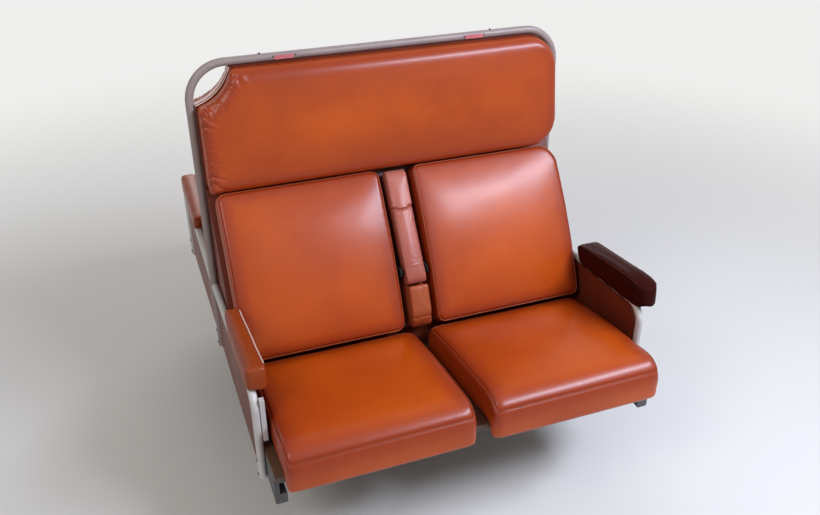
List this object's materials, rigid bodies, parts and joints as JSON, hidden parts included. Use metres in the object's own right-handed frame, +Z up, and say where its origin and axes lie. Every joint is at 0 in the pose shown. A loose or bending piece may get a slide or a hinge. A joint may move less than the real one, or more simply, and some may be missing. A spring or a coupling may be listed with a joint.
{
  "type": "railway coach back-to-back double bench seat",
  "caption": "Back-to-back double bench seat of a railway coach on one tube hoop, with headrests, side armrests and folding centre armrests.",
  "frame": {"origin": "on the floor under the middle of the hoop, at the centre of the floor bolt pattern", "axes": "+Z up, +X across the coach to the window wall, the front bench faces -Y and the rear bench faces +Y"},
  "size_m": [1.1343, 1.514, 1.151],
  "materials": {
    "frame_paint": "dark grey paint",
    "leathercloth": "orange red-brown leathercloth with a soft sheen",
    "wall_arm_cover": "dark red-brown leathercloth",
    "rail_paint": "satin light grey paint",
    "buffer_rubber": "matt black",
    "covered_board": "board covered in red-brown leathercloth",
    "hoop_paint": "satin warm grey paint, rubbed at the hand-hold",
    "label_plate": "pinkish red, blank",
    "board": "dark varnished plywood"
  },
  "bodies": {
    "bench": {"arm_hinge_front": "frame_paint", "arm_hinge_rear": "frame_paint", "arm_pad_aisle_front": "leathercloth", "arm_pad_aisle_rear": "leathercloth", "arm_pad_wall_front": "wall_arm_cover", "arm_pad_wall_rear": "wall_arm_cover", "arm_rail_aisle_front": "rail_paint", "arm_rail_aisle_rear": "rail_paint", "arm_rail_wall_front": "rail_paint", "arm_rail_wall_rear": "rail_paint", "arm_stop_front": "buffer_rubber", "arm_stop_rear": "buffer_rubber", "arm_stub_front": "leathercloth", "arm_stub_rear": "leathercloth", "back_cheek_aisle": "covered_board", "back_cheek_wall": "covered_board", "back_cushion_aisle_front": "leathercloth", "back_cushion_aisle_rear": "leathercloth", "back_cushion_wall_front": "leathercloth", "back_cushion_wall_rear": "leathercloth", "back_panel_front": "covered_board", "back_panel_rear": "covered_board", "cross_member_front": "frame_paint", "cross_member_rear": "frame_paint", "floor_bar_aisle": "frame_paint", "floor_bar_wall": "frame_paint", "headrest_core": "covered_board", "headrest_front": "leathercloth", "headrest_rear": "leathercloth", "hoop_tube": "hoop_paint", "label_plate_aisle": "label_plate", "label_plate_wall": "label_plate", "pan_beam_front": "frame_paint", "pan_beam_rear": "frame_paint", "post_guard_front": "rail_paint", "post_guard_rear": "rail_paint", "seat_cushion_aisle_front": "leathercloth", "seat_cushion_aisle_rear": "leathercloth", "seat_cushion_wall_front": "leathercloth", "seat_cushion_wall_rear": "leathercloth", "seat_pan_front": "board", "seat_pan_rear": "board", "seat_rib_aisle_front": "frame_paint", "seat_rib_aisle_rear": "frame_paint", "seat_rib_wall_front": "frame_paint", "seat_rib_wall_rear": "frame_paint", "side_member_aisle": "frame_paint", "side_member_wall": "frame_paint", "side_panel_aisle_front": "covered_board", "side_panel_aisle_rear": "covered_board", "side_panel_wall_front": "covered_board", "side_panel_wall_rear": "covered_board", "upright_aisle_front": "frame_paint", "upright_aisle_rear": "frame_paint", "upright_wall_front": "frame_paint", "upright_wall_rear": "frame_paint", "wall_bracket_front": "frame_paint", "wall_bracket_rear": "frame_paint"},
    "arm_front": {"centre_arm_front": "leathercloth"},
    "arm_rear": {"centre_arm_rear": "leathercloth"}
  },
  "joints": [
    {"name": "arm_front_fold", "type": "hinge", "parent": "bench", "child": "arm_front", "pos_m": [0, -0.23964, 0.55872], "axis": [1, 0, 0], "range_deg": [0, 120]},
    {"name": "arm_rear_fold", "type": "hinge", "parent": "bench", "child": "arm_rear", "pos_m": [0, 0.23964, 0.55872], "axis": [-1, 0, 0], "range_deg": [0, 120]}
  ]
}
